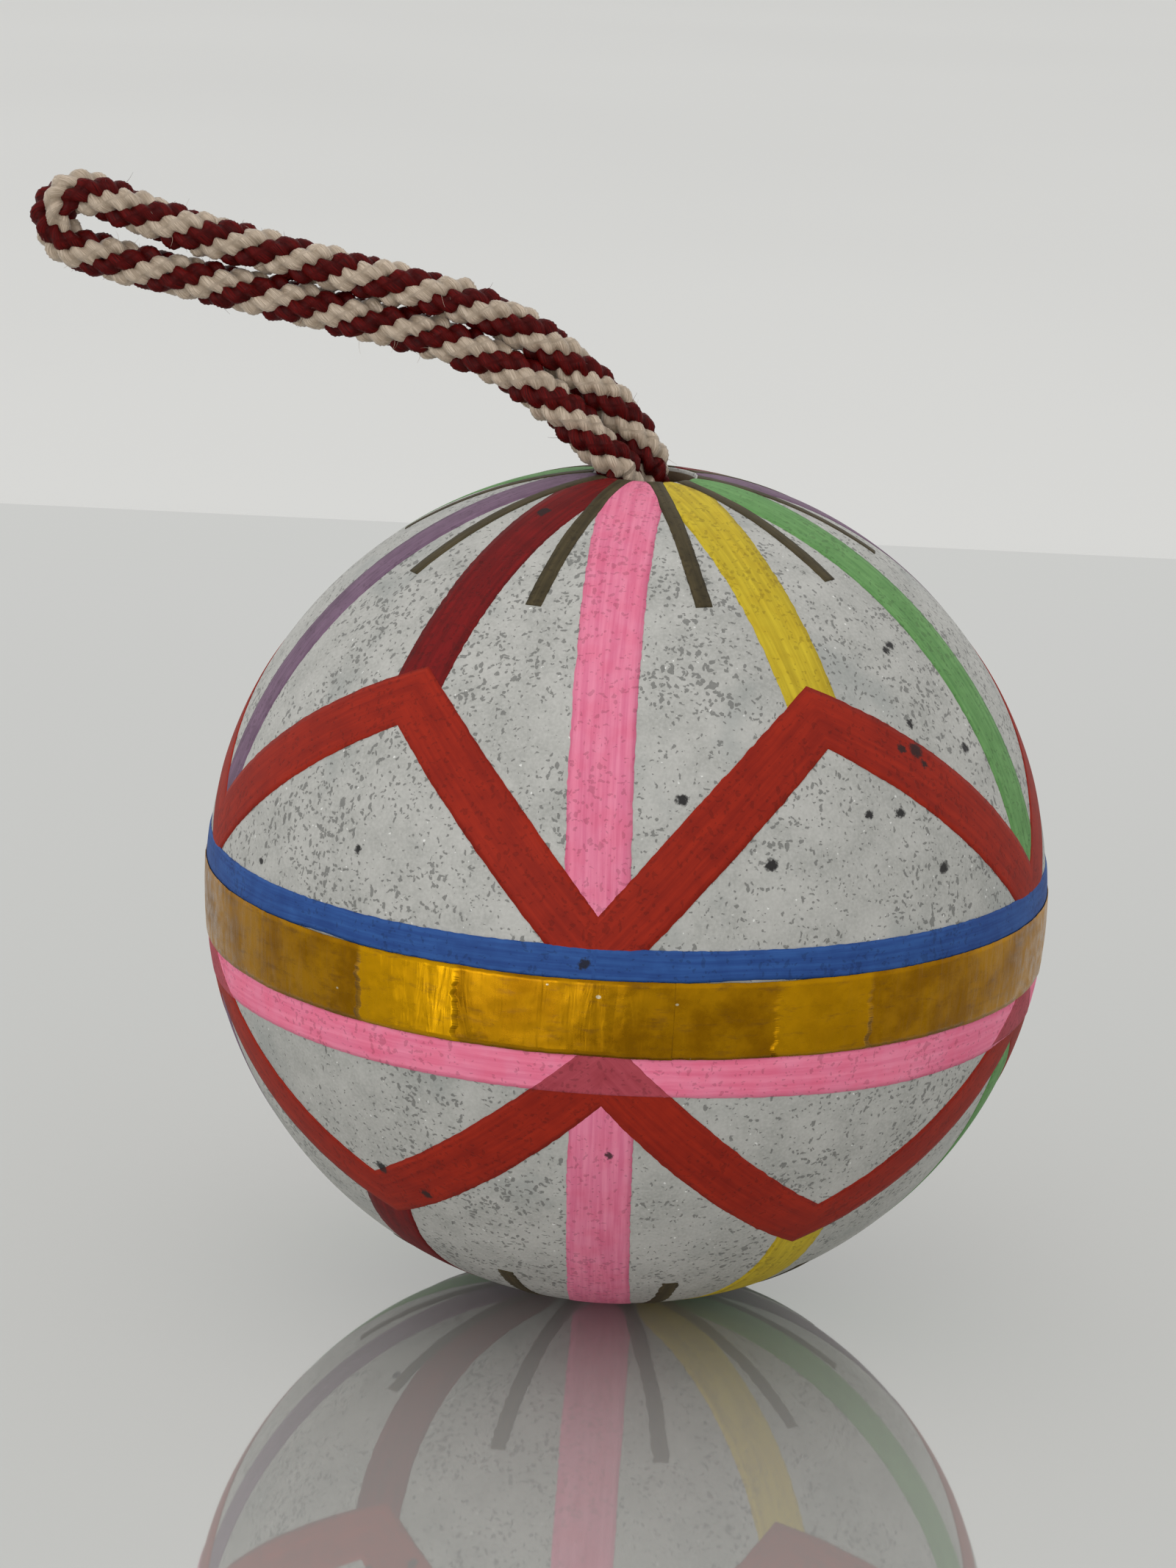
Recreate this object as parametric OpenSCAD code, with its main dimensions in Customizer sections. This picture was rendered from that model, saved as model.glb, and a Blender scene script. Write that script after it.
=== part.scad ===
// Hand-painted hanging ball: two thin half shells, a foil band over their seam and a twisted cord loop.
// Millimetres. The origin is the ball's centre, +Z runs up through the cord hole, and the front is -Y.

/* [Ball] */
// Outside diameter of the ball
ball_d = 60; // [56:1:64]
// Thickness of the shell
wall = 2.5; // [2:0.1:3]
// Diameter of the hole that the cord passes through
hole_d = 7; // [6.8:0.1:7.4]

/* [Seam] */
// Width of the paper collar glued inside across the seam
collar_w = 8; // [6:1:12]
// Thickness of the paper collar
collar_t = 0.5; // [0.4:0.1:0.8]
// Height of the foil band's upper edge above the seam
foil_above = 1.6; // [1:0.1:3]
// Depth of the foil band's lower edge below the seam
foil_below = 3.7; // [2:0.1:5]
// Thickness of the foil band
foil_t = 0.2; // [0.1:0.05:0.4]

/* [Cord] */
// Diameter of the twisted cord
cord_d = 2.8; // [2.6:0.1:2.9]
// Diameter of the stopper knot inside the ball
knot_d = 11; // [10:0.5:12]
// Height of the stopper knot
knot_h = 7; // [6:0.5:8]
// Length of the cut ends below the knot
tail_len = 8; // [5:1:10]

/* [Pellet] */
// Diameter of the loose rattle pellet
pellet_d = 9; // [7:0.5:10]

/* [Hidden] */
$fn = 96;

ball_r = ball_d / 2;
inner_r = ball_r - wall;
// A film of glue between the pieces that are stuck together
glue = 0.03;
// Running clearance between pieces that move past each other
gap = 0.3;
knot_rim_r = knot_h / 2;
knot_core_r = knot_d / 2 - knot_rim_r;
// The knot's shoulder sits just under the hole's inner edge
hole_edge_z = sqrt(pow(inner_r, 2) - pow(hole_d / 2, 2));
shoulder_z = sqrt(pow(knot_rim_r, 2) - pow(hole_d / 2 - knot_core_r, 2));
knot_z = hole_edge_z - shoulder_z - gap;
knot_top = knot_z + knot_rim_r;
knot_bottom = knot_z - knot_rim_r;
// The pellet rolls clear of the collar
pellet_z = -(inner_r - glue - collar_t - pellet_d / 2 - gap);
big = 2 * ball_d;

// Route of the cord outside the ball as [x, y, height above the ball's top]: up the lower leg,
// out along the loop, round its tip and back down the upper leg
route = [
    [-1.6, -1.1, 0], [-2.9, -1.2, 1.2], [-4.5, -1.1, 2.7], [-6.4, -0.8, 4.3], [-8.7, -0.6, 5.9],
    [-11.5, -0.3, 7.3], [-15, 0, 8.4], [-19, 0, 9.2], [-23.5, 0, 10.1], [-27.5, 0, 10.8],
    [-31.5, 0, 11.5], [-35.5, 0, 12.2], [-38.5, 0, 12.8], [-40.8, 0, 13.4], [-42, 0, 14.5],
    [-42.2, 0, 15.9], [-41.4, 0, 17], [-39.8, 0, 17.3], [-37.5, 0, 16.5], [-34.5, 0, 15.5],
    [-30.5, 0, 14.5], [-26.5, 0, 13.7], [-22, 0, 12.8], [-17.5, 0, 11.9], [-13, 0.2, 10.9],
    [-9.1, 0.5, 9.3], [-5.9, 0.9, 7.1], [-3.2, 1.2, 4.8], [-1.2, 1.3, 2.5], [0.1, 1.3, 0]
];
// The two legs stand diagonally in the hole, the lower one in front
lower_leg = route[0];
upper_leg = route[len(route) - 1];
cord_sides = 8;
// The stretches next to the hole flex; each is this many points long
bend_points = 4;

// Direction of the route at point i: straight up and straight down where it meets the hole
function along(i) =
    i == 0 ? [0, 0, 1] :
    i == len(route) - 1 ? [0, 0, -1] :
    (route[i + 1] - route[i - 1]) / norm(route[i + 1] - route[i - 1]);
// Direction across the route at point i, in the loop's own plane
function across(i) = let (n = cross([0, 1, 0], along(i))) n / norm(n);
// Ring of points round point i of the route, square to it
function ring(i, r) = [
    for (k = [0 : cord_sides - 1])
        let (a = 360 * (k + 0.5) / cord_sides, y = cross(along(i), across(i)))
            [0, 0, ball_r] + route[i] + r * (cos(a) * across(i) + sin(a) * y)
];

// Tube of diameter d along the route from point first to point last
module cord_tube(first, last, d) {
    rings = last - first + 1;
    points = [for (i = [first : last]) each ring(i, d / 2)];
    walls = [
        for (i = [0 : rings - 2], k = [0 : cord_sides - 1])
            let (m = (k + 1) % cord_sides, a = i * cord_sides, b = a + cord_sides)
                [a + k, b + k, b + m, a + m]
    ];
    start = [for (k = [0 : cord_sides - 1]) k];
    end = [for (k = [cord_sides - 1 : -1 : 0]) (rings - 1) * cord_sides + k];
    polyhedron(points = points, faces = concat([start], walls, [end]), convexity = 6);
}

// Hollow ball between two radii
module hollow_ball(outer, inner) {
    difference() {
        sphere(r = outer);
        sphere(r = inner);
    }
}

// Slab that keeps what lies between two heights
module slab(low, high) {
    translate([-big / 2, -big / 2, low]) cube([big, big, high - low]);
}

module upper_shell() {
    color([0.78, 0.78, 0.75])
    difference() {
        intersection() {
            hollow_ball(ball_r, inner_r);
            slab(glue / 2, ball_r + 1);
        }
        cylinder(d = hole_d, h = ball_r + 1);
    }
}

module lower_shell() {
    color([0.76, 0.76, 0.73])
    intersection() {
        hollow_ball(ball_r, inner_r);
        slab(-ball_r - 1, -glue / 2);
    }
}

module seam_collar() {
    color([0.72, 0.64, 0.50])
    intersection() {
        hollow_ball(inner_r - glue, inner_r - glue - collar_t);
        slab(-collar_w / 2, collar_w / 2);
    }
}

module gold_foil_band() {
    color([0.80, 0.60, 0.12])
    intersection() {
        hollow_ball(ball_r + glue + foil_t, ball_r + glue);
        slab(-foil_below, foil_above);
    }
}

// The two lengths of cord inside the hole
module cord_legs() {
    color([0.50, 0.12, 0.14])
    for (leg = [lower_leg, upper_leg])
        translate([leg[0], leg[1], knot_top]) cylinder(d = cord_d, h = ball_r - knot_top);
}

// Both ends knotted together, drawn as one round lump
module stopper_knot() {
    color([0.62, 0.45, 0.38])
    translate([0, 0, knot_z])
    rotate_extrude() {
        translate([knot_core_r, 0])
        intersection() {
            circle(r = knot_rim_r);
            translate([0, -knot_rim_r]) square([knot_rim_r, knot_h]);
        }
        translate([0, -knot_rim_r]) square([knot_core_r, knot_h]);
    }
}

module cord_tails() {
    color([0.70, 0.66, 0.56])
    for (leg = [lower_leg, upper_leg])
        translate([leg[0], leg[1], knot_bottom - tail_len]) cylinder(d = cord_d, h = tail_len);
}

// The stretch that flexes when the loop is lifted
module cord_bend() {
    color([0.45, 0.10, 0.13]) {
        cord_tube(0, bend_points - 1, cord_d);
        cord_tube(len(route) - bend_points, len(route) - 1, cord_d);
    }
}

module cord_loop() {
    color([0.55, 0.14, 0.16]) cord_tube(bend_points - 1, len(route) - bend_points, cord_d);
}

module rattle_pellet() {
    color([0.58, 0.40, 0.27]) translate([0, 0, pellet_z]) sphere(d = pellet_d);
}

upper_shell();
lower_shell();
seam_collar();
gold_foil_band();
cord_legs();
stopper_knot();
cord_tails();
cord_bend();
cord_loop();
rattle_pellet();
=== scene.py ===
"""Looks of the hand-painted hanging ball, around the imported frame. Lengths are metres unless named _mm."""
import math
import random

import bmesh
import bpy
import numpy as np
from mathutils import Matrix, Vector, noise


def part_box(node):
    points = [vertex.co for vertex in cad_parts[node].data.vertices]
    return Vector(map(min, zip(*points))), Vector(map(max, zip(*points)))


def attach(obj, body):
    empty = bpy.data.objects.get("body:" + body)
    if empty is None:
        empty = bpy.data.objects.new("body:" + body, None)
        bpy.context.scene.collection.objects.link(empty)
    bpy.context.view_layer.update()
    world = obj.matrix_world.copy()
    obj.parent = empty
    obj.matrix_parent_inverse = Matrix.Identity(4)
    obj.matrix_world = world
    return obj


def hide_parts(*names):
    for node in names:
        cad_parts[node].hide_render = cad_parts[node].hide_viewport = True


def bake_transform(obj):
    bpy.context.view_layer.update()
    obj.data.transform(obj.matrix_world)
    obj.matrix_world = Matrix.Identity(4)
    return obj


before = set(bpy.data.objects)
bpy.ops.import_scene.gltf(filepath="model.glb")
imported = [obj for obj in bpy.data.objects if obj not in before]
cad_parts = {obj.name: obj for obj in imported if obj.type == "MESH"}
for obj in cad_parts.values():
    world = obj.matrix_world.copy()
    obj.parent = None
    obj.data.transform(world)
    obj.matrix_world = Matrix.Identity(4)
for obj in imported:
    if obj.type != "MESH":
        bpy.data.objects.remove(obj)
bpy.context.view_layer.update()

MM = 0.001
TAU = 2 * math.pi

# ---------------------------------------------------------------- sizes from the frame
shell_low, shell_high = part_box("lower_shell")
BALL_R = (shell_high.x - shell_low.x) / 2
foil_low, foil_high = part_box("gold_foil_band")
legs_low, legs_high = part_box("cord_legs")
MOUTH_Z = legs_high.z
CORD_D = 2.8 * MM
knot_low, knot_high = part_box("stopper_knot")
tails_low, tails_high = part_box("cord_tails")
pellet_low, pellet_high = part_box("rattle_pellet")
WALL = 2.5 * MM
HOLE_R = 3.5 * MM

# ---------------------------------------------------------------- camera
CAMERA_DISTANCE = 10 * BALL_R
CAMERA_AZIMUTH = 3.2      # degrees to the right of the painted front
CAMERA_ELEVATION = 15.3
CAMERA_ROLL = 2.8
AIM_UP = 1.35             # the ball sits a little low and to the right in the frame
AIM_LEFT = 0.52
LENS_MM = 95.9


def make_camera():
    """Camera in front and a little above, tilted slightly, aimed just above and left of the ball's centre."""
    azimuth, elevation = math.radians(CAMERA_AZIMUTH), math.radians(CAMERA_ELEVATION)
    back = Vector((
        math.sin(azimuth) * math.cos(elevation),
        -math.cos(azimuth) * math.cos(elevation),
        math.sin(elevation),
    ))
    data = bpy.data.cameras.new("camera")
    data.lens = LENS_MM
    data.clip_start = 0.01
    camera = bpy.data.objects.new("camera", data)
    bpy.context.scene.collection.objects.link(camera)
    look = (-back).to_track_quat("-Z", "Y").to_matrix().to_4x4()
    roll = Matrix.Rotation(math.radians(CAMERA_ROLL), 4, "Z")
    up = Matrix.Rotation(math.radians(AIM_UP), 4, "X")
    left = Matrix.Rotation(math.radians(AIM_LEFT), 4, "Y")
    camera.matrix_world = Matrix.Translation(back * CAMERA_DISTANCE) @ look @ roll @ up @ left
    bpy.context.scene.camera = camera


# ---------------------------------------------------------------- mesh helpers
def add_mesh(name, verts, faces, materials, indices=None, smooth=True):
    """New mesh object from points and faces, in the frame's own place."""
    mesh = bpy.data.meshes.new(name)
    mesh.from_pydata([tuple(v) for v in verts], [], [tuple(f) for f in faces])
    for material in materials:
        mesh.materials.append(material)
    if indices is not None:
        mesh.polygons.foreach_set("material_index", np.asarray(indices, np.int32))
    mesh.polygons.foreach_set("use_smooth", np.full(len(mesh.polygons), smooth))
    mesh.update()
    piece = bpy.data.objects.new(name, mesh)
    bpy.context.scene.collection.objects.link(piece)
    return piece


def grid_faces(rows, columns, first=0, wrap_rows=False, wrap_columns=False):
    """Quads of a grid of points numbered row by row from first."""
    i = np.arange(rows if wrap_rows else rows - 1)
    j = np.arange(columns if wrap_columns else columns - 1)
    a, b = np.meshgrid(i, j, indexing="ij")
    a1, b1 = (a + 1) % rows, (b + 1) % columns
    corners = (a * columns + b, a1 * columns + b, a1 * columns + b1, a * columns + b1)
    return np.stack(corners, -1).reshape(-1, 4) + first


def add_vectors(piece, name, values):
    """Stores one vector per point, which the materials read."""
    attribute = piece.data.attributes.new(name, "FLOAT_VECTOR", "POINT")
    attribute.data.foreach_set("vector", np.asarray(values, np.float32).ravel())


def unit(v):
    return v / np.linalg.norm(v, axis=-1, keepdims=True)


def on_ball(azimuth, latitude):
    """Unit vectors for degrees round from the front, towards +X, and degrees above the seam."""
    a, b = np.radians(azimuth), np.radians(latitude)
    return np.stack([np.sin(a) * np.cos(b), -np.cos(a) * np.cos(b), np.sin(b) + 0 * a], -1)


def wobble(x, seed, size=1.0):
    """Smooth unevenness of about -1 to 1 along x."""
    return noise.noise(Vector((x / size, 3.7 * seed, 1.3 * seed)))


# ---------------------------------------------------------------- the ball's own surface
UNEVEN = 0.05 * MM        # how far the hand-made ball strays from a true sphere
UNEVEN_SCALE = 2.2


def ball_radius(directions):
    """Radius of the slightly uneven ball in each direction."""
    flat = directions.reshape(-1, 3)
    bumps = np.array([noise.noise(Vector(d) * UNEVEN_SCALE) for d in flat])
    return (BALL_R - UNEVEN * (0.5 - 0.5 * bumps)).reshape(directions.shape[:-1])


COAT_SINK = 0.04 * MM     # how far a coat's underside reaches into the shell


def coat(name, directions, lift, material, strokes, closed=False, sink=COAT_SINK):
    """A layer of paint or foil on the ball: a grid of directions, raised by lift and closed below."""
    rows, columns = directions.shape[:2]
    radius = ball_radius(directions)
    top = directions * (radius + lift)[..., None]
    bottom = directions * (radius - sink)[..., None]
    verts = np.concatenate([top.reshape(-1, 3), bottom.reshape(-1, 3)])
    count = rows * columns
    faces = [grid_faces(rows, columns, 0, wrap_rows=closed)[:, ::-1]]
    faces.append(grid_faces(rows, columns, count, wrap_rows=closed))
    along = np.arange(rows)
    for column, turn in ((0, 1), (columns - 1, -1)):
        a = along if closed else along[:-1]
        b = (a + 1) % rows
        side = np.stack([a, b, b, a], -1) * columns + column
        side[:, 2:] += count
        faces.append(side[:, ::turn])
    if not closed:
        across = np.arange(columns - 1)
        for row, turn in ((0, -1), (rows - 1, 1)):
            base = row * columns + across
            side = np.stack([base, base + 1, base + 1 + count, base + count], -1)
            faces.append(side[:, ::turn])
    piece = add_mesh(name, verts, np.concatenate(faces), [material])
    flat = strokes.reshape(-1, 3)
    add_vectors(piece, "stroke", np.concatenate([flat, flat]))
    return piece


# ---------------------------------------------------------------- materials
def linear(red, green, blue):
    """Display colour, 0 to 255, as the linear colour that shaders use."""
    c = np.array([red, green, blue]) / 255
    value = np.where(c <= 0.04045, c / 12.92, ((c + 0.055) / 1.055) ** 2.4)
    return (*value, 1.0)


class Finish:
    """One procedural material, with short calls for the nodes used here."""

    def __init__(self, name, roughness=0.6, metallic=0.0, specular=0.5):
        self.material = bpy.data.materials.new(name)
        self.material.use_nodes = True
        self.tree = self.material.node_tree
        self.shader = self.tree.nodes["Principled BSDF"]
        self.shader.inputs["Roughness"].default_value = roughness
        self.shader.inputs["Metallic"].default_value = metallic
        self.shader.inputs["Specular IOR Level"].default_value = specular

    def node(self, kind, **inputs):
        made = self.tree.nodes.new("ShaderNode" + kind)
        for name, value in inputs.items():
            self.set(made.inputs[name.replace("_", " ")], value)
        return made

    def set(self, socket, value):
        if isinstance(value, bpy.types.NodeSocket):
            self.tree.links.new(value, socket)
        else:
            socket.default_value = value

    def place(self, scale=1.0, stretch=(1, 1, 1)):
        """Object coordinates in millimetres, stretched."""
        where = self.node("TexCoord").outputs["Object"]
        mapping = self.node("Mapping", Vector=where)
        mapping.inputs["Scale"].default_value = [1000 * scale * s for s in stretch]
        return mapping.outputs["Vector"]

    def stored(self, name, stretch=(1, 1, 1)):
        """A vector stored on the mesh's points, stretched."""
        attribute = self.node("Attribute")
        attribute.attribute_name = name
        mapping = self.node("Mapping", Vector=attribute.outputs["Vector"])
        mapping.inputs["Scale"].default_value = stretch
        return mapping.outputs["Vector"]

    def noise(self, where, scale=1.0, detail=3.0, roughness=0.55, distortion=0.0):
        made = self.node("TexNoise", Vector=where, Scale=scale, Detail=detail, Roughness=roughness,
                         Distortion=distortion)
        return made.outputs["Fac"]

    def cells(self, where, scale=1.0):
        """Distance to the nearest scattered point, and a random colour for each point's cell."""
        made = self.node("TexVoronoi", Vector=where, Scale=scale, Randomness=1.0)
        return made.outputs["Distance"], made.outputs["Color"]

    def math(self, operation, a, b=0.0, clamp=False):
        made = self.node("Math")
        made.operation = operation
        made.use_clamp = clamp
        self.set(made.inputs[0], a)
        self.set(made.inputs[1], b)
        return made.outputs[0]

    def fade(self, value, low, high, start=0.0, end=1.0):
        """value taken smoothly from low..high to start..end."""
        made = self.node("MapRange", Value=value)
        made.interpolation_type = "SMOOTHSTEP"
        for socket, number in (("From Min", low), ("From Max", high), ("To Min", start), ("To Max", end)):
            made.inputs[socket].default_value = number
        return made.outputs["Result"]

    def mix(self, share, a, b, blend="MIX"):
        made = self.tree.nodes.new("ShaderNodeMix")
        made.data_type = "RGBA"
        made.blend_type = blend
        self.set(made.inputs["Factor"], share)
        self.set(made.inputs["A"], a)
        self.set(made.inputs["B"], b)
        return made.outputs["Result"]

    def bump(self, height, distance_mm, strength):
        made = self.node("Bump", Height=height, Strength=strength)
        made.inputs["Distance"].default_value = distance_mm * MM
        return made.outputs["Normal"]

    def done(self, colour, normal=None, roughness=None):
        self.set(self.shader.inputs["Base Color"], colour)
        if normal is not None:
            self.set(self.shader.inputs["Normal"], normal)
        if roughness is not None:
            self.set(self.shader.inputs["Roughness"], roughness)
        return self.material


def pits(finish):
    """Mask of the small dark pits and dashes that pock the whole ball, thicker in some areas than others."""
    warp = finish.node("TexNoise", Vector=finish.place(), Scale=1.7, Detail=3.0)
    bent = finish.mix(0.75, finish.place(), warp.outputs["Color"], "ADD")
    crowd = finish.noise(finish.place(), scale=0.16, detail=4.0, roughness=0.65)
    reach = finish.fade(crowd, 0.34, 0.62, 0.20, 0.44)
    masks = []
    for scale, stretch, turn in (
        (2.3, (1.0, 1.0, 0.38), (0.5, 0.3, 0.4)),
        (2.8, (1.0, 0.40, 1.0), (0.2, 0.9, 1.3)),
        (3.4, (0.42, 1.0, 1.0), (1.1, 0.1, 0.7)),
    ):
        mapping = finish.node("Mapping", Vector=bent)
        mapping.inputs["Scale"].default_value = [scale * s for s in stretch]
        mapping.inputs["Rotation"].default_value = turn
        distance, colour = finish.cells(mapping.outputs["Vector"])
        pick = finish.node("SeparateColor", Color=colour).outputs[0]
        size = finish.math("MULTIPLY", reach, finish.fade(pick, 0.2, 1.0, 0.0, 1.0))
        masks.append(finish.fade(finish.math("SUBTRACT", distance, size), -0.07, 0.02, 1.0, 0.0))
    return finish.math("MAXIMUM", masks[0], finish.math("MAXIMUM", masks[1], masks[2]))


def glints(finish):
    """Mask of the tiny flakes in the silvery paint, painted near white as glints: a painted highlight."""
    warp = finish.node("TexNoise", Vector=finish.place(), Scale=4.0, Detail=2.0)
    distance, colour = finish.cells(finish.mix(0.8, finish.place(2.6), warp.outputs["Color"], "ADD"))
    pick = finish.node("SeparateColor", Color=colour).outputs[2]
    size = finish.fade(pick, 0.88, 1.0, 0.0, 0.26)
    return finish.fade(finish.math("SUBTRACT", distance, size), -0.06, 0.0, 1.0, 0.0)


# The larger chips and smudges: degrees round from the front, degrees above the seam, size in mm
MARKS = [
    (10.4, 25.8, 0.62), (22.4, 17.5, 0.62), (54, 44, 0.5), (56, 44.5, 0.55), (49.8, 30, 0.85),
    (50.8, 33.5, 0.5), (47, 30.5, 0.5), (50.5, 28, 0.5), (50, 14.5, 0.7), (43.5, 22.5, 0.6),
    (38, 22.8, 0.45), (62, 28.5, 0.6), (-1.5, 4.9, 0.6), (-34.6, 14.8, 0.45), (-26.6, -33.6, 0.6),
    (-34, -30.6, 0.7), (2.8, -21.7, 0.45)
]


def placed_marks(finish):
    """Mask of the marks in MARKS, with ragged outlines."""
    warp = finish.node("TexNoise", Vector=finish.place(), Scale=2.4, Detail=5.0, Roughness=0.7)
    bent = finish.mix(1.0, finish.place(), warp.outputs["Color"], "ADD")
    shift = 0.5               # what the warp adds on average, in each direction
    mask = 0.0
    for azimuth, latitude, size in MARKS:
        centre = on_ball(azimuth, latitude) * BALL_R / MM + shift
        apart = finish.node("VectorMath")
        apart.operation = "DISTANCE"
        finish.set(apart.inputs[0], bent)
        apart.inputs[1].default_value = centre
        near = finish.fade(apart.outputs["Value"], 0.45 * size, 0.85 * size, 1.0, 0.0)
        mask = finish.math("MAXIMUM", mask, near)
    return mask


def chips(finish):
    """Mask of the few larger black chips."""
    warp = finish.node("TexNoise", Vector=finish.place(), Scale=1.1, Detail=4.0)
    bent = finish.mix(0.9, finish.place(), warp.outputs["Color"], "ADD")
    mapping = finish.node("Mapping", Vector=bent)
    mapping.inputs["Scale"].default_value = (0.13, 0.13, 0.17)
    distance, colour = finish.cells(mapping.outputs["Vector"])
    pick = finish.node("SeparateColor", Color=colour).outputs[1]
    size = finish.fade(pick, 0.45, 1.0, 0.0, 0.085)
    scattered = finish.fade(finish.math("SUBTRACT", distance, size), -0.02, 0.0, 1.0, 0.0)
    return finish.math("MAXIMUM", scattered, placed_marks(finish))


def shell_finish():
    """Silvery white, mottled, pitted paint with a slight pearl and painted glints; inside, raw paper darkened
    as painted shade.
    """
    f = Finish("shell_silver_white", roughness=0.5, specular=0.4)
    pale, dull = linear(188, 187, 182), linear(164, 164, 159)
    mottle = f.fade(f.noise(f.place(), scale=0.28, detail=6.0, roughness=0.65), 0.3, 0.7)
    colour = f.mix(mottle, dull, pale)
    grain = f.fade(f.noise(f.place(), scale=4.5, detail=3.0), 0.3, 0.75)
    colour = f.mix(f.math("MULTIPLY", grain, 0.4), colour, linear(206, 205, 200))
    smudge = f.fade(f.noise(f.place(), scale=0.11, detail=3.0, roughness=0.6), 0.55, 0.72)
    colour = f.mix(f.math("MULTIPLY", smudge, 0.45), colour, linear(140, 146, 144))
    pitted, chipped, bright = pits(f), chips(f), glints(f)
    colour = f.mix(f.math("MULTIPLY", pitted, 0.70), colour, linear(96, 96, 93))
    # Painted highlight: the tiny flakes are painted near white as glints.
    colour = f.mix(f.math("MULTIPLY", bright, 0.8), colour, linear(240, 240, 236))
    colour = f.mix(chipped, colour, linear(34, 32, 32))
    # Inside the shell the raw paper is painted dark brown, darker than the paper itself: partly the paper's
    # colour, partly painted shade inside the hole.
    reach = f.node("VectorMath", Vector=f.place())
    reach.operation = "LENGTH"
    inside = f.fade(reach.outputs["Value"], (BALL_R / MM) - 0.35, (BALL_R / MM) - 0.25, 1.0, 0.0)
    colour = f.mix(inside, colour, linear(92, 76, 58))
    height = f.math("SUBTRACT", f.math("MULTIPLY", grain, 0.25), f.math("ADD", pitted, chipped))
    roughness = f.fade(f.math("ADD", f.math("MULTIPLY", grain, 0.5), bright), 0.0, 1.0, 0.56, 0.25)
    return f.done(colour, f.bump(height, 0.03, 0.8), roughness)


def paint_finish(name, colour, streak):
    """Brushed matt paint: streaks along the stroke, thinner places, and the ball's pits showing through."""
    f = Finish(name, roughness=0.62, specular=0.22)
    streaks = f.noise(f.stored("stroke", (0.12, 2.6, 1)), scale=1.0, detail=3.0, roughness=0.6)
    tone = f.mix(f.fade(streaks, 0.3, 0.7), colour, streak)
    cloud = f.fade(f.noise(f.place(), scale=0.6, detail=3.0), 0.35, 0.7)
    tone = f.mix(f.math("MULTIPLY", cloud, 0.25), tone, colour, "MULTIPLY")
    pitted, chipped = pits(f), chips(f)
    tone = f.mix(f.math("MULTIPLY", pitted, 0.38), tone, linear(168, 160, 160), "MULTIPLY")
    tone = f.mix(f.math("MULTIPLY", chipped, 0.9), tone, linear(34, 30, 30))
    ridges = f.noise(f.stored("stroke", (0.25, 7.0, 1)), scale=1.0, detail=2.0)
    height = f.math("SUBTRACT", f.math("MULTIPLY", ridges, 0.5), f.math("MULTIPLY", pitted, 0.7))
    return f.done(tone, f.bump(height, 0.02, 0.7))


def foil_finish():
    """Creased gold foil: panels where it leans back are painted bright as highlights, scuffed dull elsewhere.
    """
    f = Finish("gold_foil", roughness=0.3, metallic=1.0)
    where = f.stored("stroke")
    split = f.node("SeparateXYZ", Vector=where).outputs
    wander = f.noise(f.stored("stroke", (0.0, 0.8, 1)), scale=1.0, detail=4.0)
    along = f.math("ADD", split[0], f.math("MULTIPLY", wander, 1.4))
    tone = f.mix(f.fade(f.noise(where, scale=0.3, detail=5.0, roughness=0.65), 0.35, 0.65),
                 linear(149, 101, 8), linear(183, 130, 12))
    lean = None
    for start, end, strength in FOIL_LEAN_AND_HIGHLIGHT_PANELS:
        rise = f.fade(along, start, start + 0.5, 0.0, strength)
        fall = f.fade(along, end, end + 0.5, 1.0, 0.0)
        panel = f.math("MULTIPLY", rise, fall)
        lean = panel if lean is None else f.math("ADD", lean, panel)
    # Painted highlight: the leaning panels are painted bright gold.
    tone = f.mix(f.math("MULTIPLY", lean, 0.6, clamp=True), tone, linear(224, 166, 12))
    rubbed = f.noise(f.stored("stroke", (0.35, 1.3, 1)), scale=1.0, detail=7.0, roughness=0.72)
    worn = f.fade(rubbed, 0.52, 0.70)
    tone = f.mix(f.math("MULTIPLY", worn, 0.55), tone, linear(118, 80, 33))
    distance, colour = f.cells(f.stored("stroke", (0.9, 1.3, 1)))
    pick = f.node("SeparateColor", Color=colour).outputs[0]
    nick = f.fade(f.math("SUBTRACT", distance, f.fade(pick, 0.9, 1.0, 0.0, 0.2)), -0.03, 0.0, 1.0, 0.0)
    tone = f.mix(f.math("MULTIPLY", nick, 0.8), tone, linear(214, 205, 176))
    creases = f.noise(f.stored("stroke", (0.9, 0.16, 1)), scale=1.0, detail=3.0, distortion=0.6)
    crumple = f.noise(f.stored("stroke", (0.35, 0.35, 1)), scale=1.0, detail=2.0)
    ramp = f.math("MULTIPLY", f.math("MULTIPLY", lean, split[1]), 0.8)
    height = f.math("ADD", f.math("ADD", f.math("MULTIPLY", creases, 0.5), crumple), ramp)
    roughness = f.fade(f.noise(where, scale=1.2, detail=4.0), 0.3, 0.8, 0.22, 0.50)
    return f.done(tone, f.bump(height, 0.25, 0.6), roughness)


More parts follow.
